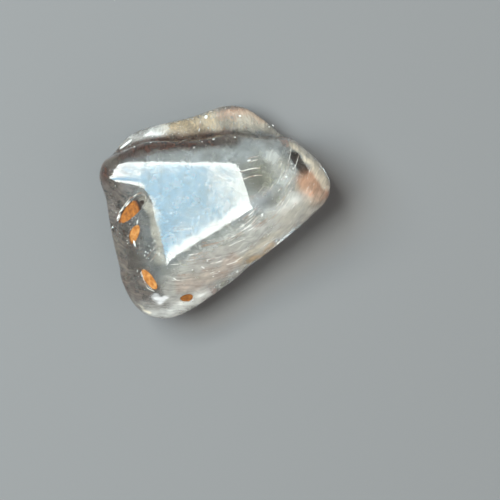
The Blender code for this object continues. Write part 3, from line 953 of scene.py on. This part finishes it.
bm = bmesh.new()
for path, radius in NEEDLES_AND_GLINT_LINES:
    add_needle(bm, on_skin(steps(path))[0], radius)
draw = np.random.default_rng(seed=5)
away, way = draw.uniform(*HAIR_AWAY, HAIRS), draw.uniform(*HAIR_WAYS, HAIRS)
along = np.linspace(0.0, 1.0, HAIR_SPOTS)
turns = way[:, None] + (draw.uniform(*HAIR_LENGTHS, HAIRS) / away)[:, None] * along
away = away[:, None] + draw.uniform(-HAIR_STRAYS, HAIR_STRAYS, HAIRS)[:, None] * along
hairs = np.stack([away * np.cos(turns), away * np.sin(turns)], axis=2) + GROWTH_MIDDLE
spots = on_skin(hairs.reshape(-1, 2))[0]
misses = np.abs(pitted(spots)).reshape(HAIRS, HAIR_SPOTS).max(axis=1)
for hair, miss in zip(spots.reshape(HAIRS, HAIR_SPOTS, 3), misses):
    if miss < HAIR_MISS:
        add_needle(bm, hair, draw.uniform(*HAIR_RADII))
bmesh.ops.recalc_face_normals(bm, faces=bm.faces)
for face in bm.faces:
    face.smooth = True
needle_and_glint_look = bpy.data.materials.new("pale_needle_and_glint_line")
needle_and_glint_look.use_nodes = True
tree = needle_and_glint_look.node_tree
place = put(tree, "TexCoord", {}).outputs["Object"]
# The pale tone also paints the scratch reflections.
paler = rise(tree, speckle(tree, place, scale=1200.0), start=0.40, full=0.60)
tint = put(tree, "Mix", {"Factor": paler}, data_type="RGBA")
tint.inputs["A"].default_value = (0.26, 0.15, 0.10, 1.0)
tint.inputs["B"].default_value = (0.90, 0.88, 0.82, 1.0)
shader = tree.nodes["Principled BSDF"]
shader.inputs["Roughness"].default_value = 0.35
tree.links.new(tint.outputs["Result"], shader.inputs["Base Color"])
finish(bm, "needles_and_glint_lines", needle_and_glint_look)

# The floor, the light and the camera
# The stone lies on a plain matte floor, straight below the camera. A soft grey room lights it,
# with a bright wall at the lower right, and a large window that mirrors in its main face.
FLOOR_SIZE, FLOOR_DROP, FLOOR_GREY = 1.2, 0.00003, (0.187, 0.186, 0.187, 1.0)
scene = bpy.context.scene
bpy.ops.mesh.primitive_plane_add(size=FLOOR_SIZE, location=(0.0, 0.0, -FLOOR_DROP))
floor = bpy.context.object
floor.name = "floor"
floor_look = bpy.data.materials.new("floor_grey")
floor_look.use_nodes = True
shader = floor_look.node_tree.nodes["Principled BSDF"]
shader.inputs["Base Color"].default_value = FLOOR_GREY
shader.inputs["Roughness"].default_value = 0.9
floor.data.materials.append(floor_look)

# The room, darker towards the floor: its colour, and the bright wall's place and light
ROOM_COLOUR = (0.26, 0.25, 0.24, 1.0)
WALL_WAY, WALL_FALL, WALL_LIGHT = -35.0, 55.0, 3.4
world = bpy.data.worlds.new("room")
scene.world = world
world.use_nodes = True
tree = world.node_tree
way = put(tree, "TexCoord", {}).outputs["Generated"]
high = put(tree, "SeparateXYZ", {"Vector": way}).outputs["Z"]
toward_wall = put(tree, "VectorMath", {0: way, 1: facing(WALL_WAY, WALL_FALL)}, operation="DOT_PRODUCT")
wall = rise(tree, toward_wall.outputs["Value"], start=0.70, full=0.95, high=WALL_LIGHT)
room = rise(tree, high, start=0.0, full=0.8, low=0.35)
tree.links.new(combine(tree, "ADD", room, wall), tree.nodes["Background"].inputs["Strength"])
tree.nodes["Background"].inputs["Color"].default_value = ROOM_COLOUR

# The window: a blue pane with white round three of its sides, and a darker bar across it
WINDOW_DISTANCE, WINDOW_WIDTH, WINDOW_LENGTH, WINDOW_POWER = 0.40, 0.286, 0.266, 2.15
WINDOW_WAY, WINDOW_FALL, WINDOW_TURN = 162.2, 31.0, -43.5
PANE_BLUE, PANE_WHITE = (0.39, 0.78, 1.08, 1.0), (1.70, 1.80, 1.75, 1.0)
BAR_AT, BAR_SHADE = 0.395, 0.55
lamp = bpy.data.lights.new("window", "AREA")
lamp.shape = "RECTANGLE"
lamp.size, lamp.size_y = WINDOW_WIDTH, WINDOW_LENGTH
lamp.energy = WINDOW_POWER
lamp.use_nodes = True
tree = lamp.node_tree
spot = put(tree, "NewGeometry", {}).outputs["Parametric"]
split = put(tree, "SeparateXYZ", {"Vector": spot}).outputs
wide, tall = split["X"], split["Y"]
white = rise(tree, tall, start=0.42, full=0.56)
white = combine(tree, "MAXIMUM", white, rise(tree, wide, start=0.28, full=0.18))
white = combine(tree, "MAXIMUM", white, rise(tree, tall, start=0.24, full=0.16))
off_bar = combine(tree, "ABSOLUTE", combine(tree, "SUBTRACT", tall, BAR_AT), 0.0)
bar = rise(tree, off_bar, start=0.035, full=0.010)
bar = combine(tree, "MULTIPLY", bar, rise(tree, wide, start=0.50, full=0.30))
shade = combine(tree, "SUBTRACT", 1.0, combine(tree, "MULTIPLY", bar, BAR_SHADE))
tone = put(tree, "Mix", {"Factor": white}, data_type="RGBA")
tone.inputs["A"].default_value = PANE_BLUE
tone.inputs["B"].default_value = PANE_WHITE
tree.links.new(tone.outputs["Result"], tree.nodes["Emission"].inputs["Color"])
tree.links.new(shade, tree.nodes["Emission"].inputs["Strength"])
window = bpy.data.objects.new("window", lamp)
window.location = Vector(facing(WINDOW_WAY, WINDOW_FALL)) * WINDOW_DISTANCE
turn = Quaternion((0.0, 0.0, 1.0), math.radians(WINDOW_TURN))
window.rotation_euler = (window.location.to_track_quat("Z", "Y") @ turn).to_euler()
scene.collection.objects.link(window)

# The camera: the photograph's scale at the girdle, the middle of its frame, and its height there
PHOTO_PIXELS, MM_PER_PIXEL = 500, 10.0 / 114.0
FRAME_WIDTH = PHOTO_PIXELS * MM_PER_PIXEL * MM
FRAME_CENTRE = Vector((3.0, -3.27, 0.0))
CAMERA_HEIGHT = 0.25
lens = bpy.data.cameras.new("camera")
lens.sensor_width = 36.0
lens.lens = lens.sensor_width * CAMERA_HEIGHT / FRAME_WIDTH
lens.clip_start = 0.005
camera = bpy.data.objects.new("camera", lens)
camera.location = (FRAME_CENTRE - foot) * MM
camera.location.z = CAMERA_HEIGHT + GIRDLE_HEIGHT * MM
scene.collection.objects.link(camera)
scene.camera = camera
scene.view_settings.view_transform = "Standard"
scene.cycles.sample_clamp_indirect = 40.0
